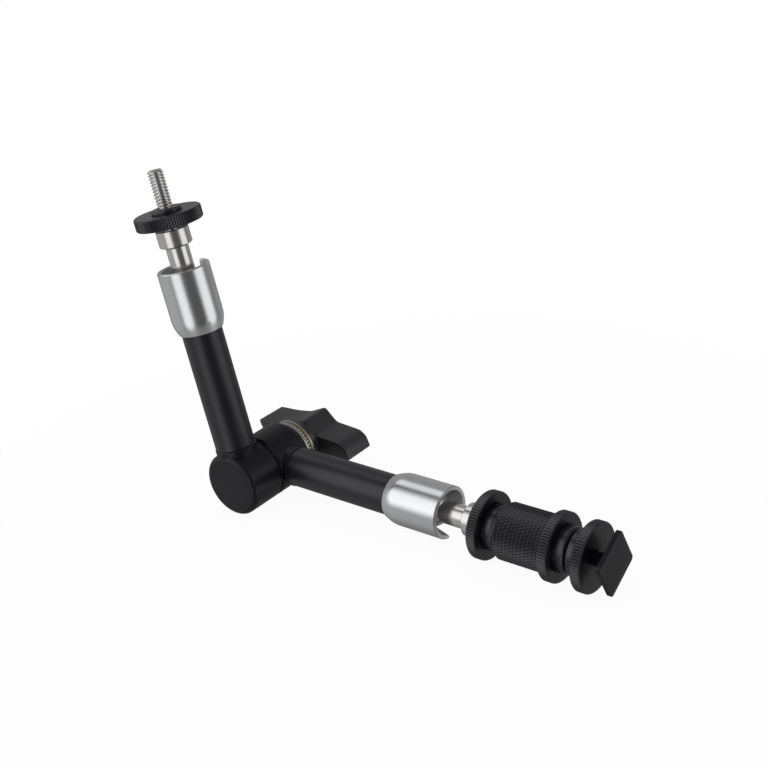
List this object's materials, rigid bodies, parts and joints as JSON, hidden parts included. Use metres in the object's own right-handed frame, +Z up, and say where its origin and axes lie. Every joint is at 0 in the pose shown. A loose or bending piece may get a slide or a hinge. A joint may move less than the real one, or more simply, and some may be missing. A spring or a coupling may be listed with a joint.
{
  "type": "articulating friction arm",
  "caption": "Small locking support arm: tubular arms on an elbow with a wing knob, ball studs at both ends, a knurled lock disc on one thread and a shoe adapter on the other.",
  "frame": {"origin": "on the surface that the arm stands on, under the middle of its bounding box", "axes": "+X along the lower arm from the elbow to the shoe foot, +Y along the elbow's axis toward the wing knob, +Z up"},
  "size_m": [0.202, 0.0672, 0.1477],
  "materials": {
    "black_anodised": "satin",
    "turned_aluminium": "brushed",
    "polished_steel": "polished",
    "knob_plastic": "satin",
    "seat_plastic": "matte",
    "cage_brass": "satin"
  },
  "bodies": {
    "lower_arm": {"lower_head": "black_anodised", "lower_tube": "black_anodised", "lower_socket": "turned_aluminium", "friction_washer": "seat_plastic"},
    "upper_arm": {"upper_head": "black_anodised", "upper_tube": "black_anodised", "upper_socket": "turned_aluminium", "front_cap": "black_anodised"},
    "press_stack": {"rear_wedge": "polished_steel", "inner_thrust_washer": "polished_steel", "thrust_cage": "cage_brass", "outer_thrust_washer": "polished_steel"},
    "knob": {"wing_knob": "knob_plastic", "knob_insert": "polished_steel"},
    "bolt": {"draw_bolt": "polished_steel"},
    "upper_rod": {"upper_push_rod": "polished_steel"},
    "lower_rod": {"lower_push_rod": "polished_steel"},
    "upper_seat": {"upper_ball_seat": "seat_plastic"},
    "lower_seat": {"lower_ball_seat": "seat_plastic"},
    "upper_stud": {"upper_ball_stud": "polished_steel"},
    "lower_stud": {"lower_ball_stud": "polished_steel"},
    "lock_disc": {"upper_lock_disc": "black_anodised"},
    "lock_nut": {"lower_lock_nut": "black_anodised"},
    "sleeve": {"adapter_sleeve": "black_anodised"},
    "jam_nut": {"adapter_jam_nut": "black_anodised"},
    "foot": {"shoe_foot": "black_anodised"},
    "clamp_nut": {"shoe_clamp_nut": "black_anodised"}
  },
  "joints": [
    {"name": "elbow_fold", "type": "hinge", "parent": "lower_arm", "child": "upper_arm", "pos_m": [-0.06773, -0.01061, 0.014], "axis": [0, 1, 0], "range_deg": [-244, 83]},
    {"name": "press_slide", "type": "slide", "parent": "lower_arm", "child": "press_stack", "axis": [0, 1, 0], "range_m": [0, 0.000625]},
    {"name": "knob_turn", "type": "hinge", "parent": "press_stack", "child": "knob", "pos_m": [-0.06773, -0.01061, 0.014], "axis": [0, 1, 0], "range_deg": [0, 360]},
    {"name": "bolt_slide", "type": "slide", "parent": "lower_arm", "child": "bolt", "axis": [0, -1, 0], "range_m": [0, 0.00065]},
    {"name": "upper_rod_slide", "type": "slide", "parent": "upper_arm", "child": "upper_rod", "axis": [0.1668, 0, -0.986], "range_m": [0, 0.00035]},
    {"name": "lower_rod_slide", "type": "slide", "parent": "lower_arm", "child": "lower_rod", "axis": [-1, 0, 0], "range_m": [0, 0.00035]},
    {"name": "upper_ball_pan", "type": "hinge", "parent": "upper_arm", "child": "upper_seat", "pos_m": [-0.08214, -0.01981, 0.09919], "axis": [-0.1668, 0, 0.986], "continuous": true},
    {"name": "upper_ball_tilt", "type": "hinge", "parent": "upper_seat", "child": "upper_stud", "pos_m": [-0.08214, -0.01981, 0.09919], "axis": [0, 1, 0], "range_deg": [-25, 25]},
    {"name": "lower_ball_pan", "type": "hinge", "parent": "lower_arm", "child": "lower_seat", "pos_m": [0.01867, -0.00141, 0.014], "axis": [1, 0, 0], "continuous": true},
    {"name": "lower_ball_tilt", "type": "hinge", "parent": "lower_seat", "child": "lower_stud", "pos_m": [0.01867, -0.00141, 0.014], "axis": [0, -1, 0], "range_deg": [-25, 25]},
    {"name": "lock_disc_travel", "type": "slide", "parent": "upper_stud", "child": "lock_disc", "axis": [-0.1668, 0, 0.986], "range_m": [-0.0016, 0.013]},
    {"name": "lock_nut_spin", "type": "hinge", "parent": "lower_stud", "child": "lock_nut", "pos_m": [0.04827, -0.00141, 0.014], "axis": [1, 0, 0], "continuous": true},
    {"name": "sleeve_spin", "type": "hinge", "parent": "lower_stud", "child": "sleeve", "pos_m": [0.06327, -0.00141, 0.014], "axis": [1, 0, 0], "continuous": true},
    {"name": "jam_nut_spin", "type": "hinge", "parent": "sleeve", "child": "jam_nut", "pos_m": [0.07927, -0.00141, 0.014], "axis": [1, 0, 0], "continuous": true},
    {"name": "foot_spin", "type": "hinge", "parent": "sleeve", "child": "foot", "pos_m": [0.09927, -0.00141, 0.014], "axis": [1, 0, 0], "continuous": true},
    {"name": "clamp_travel", "type": "slide", "parent": "foot", "child": "clamp_nut", "axis": [1, 0, 0], "range_m": [0, 0.0057]}
  ],
  "couplings": [
    {"joint": "knob_turn", "follows": "press_slide", "rad_per_m": 10053},
    {"joint": "bolt_slide", "follows": "press_slide", "ratio": 1},
    {"joint": "upper_rod_slide", "follows": "press_slide", "ratio": 0.5},
    {"joint": "lower_rod_slide", "follows": "press_slide", "ratio": 0.5}
  ]
}
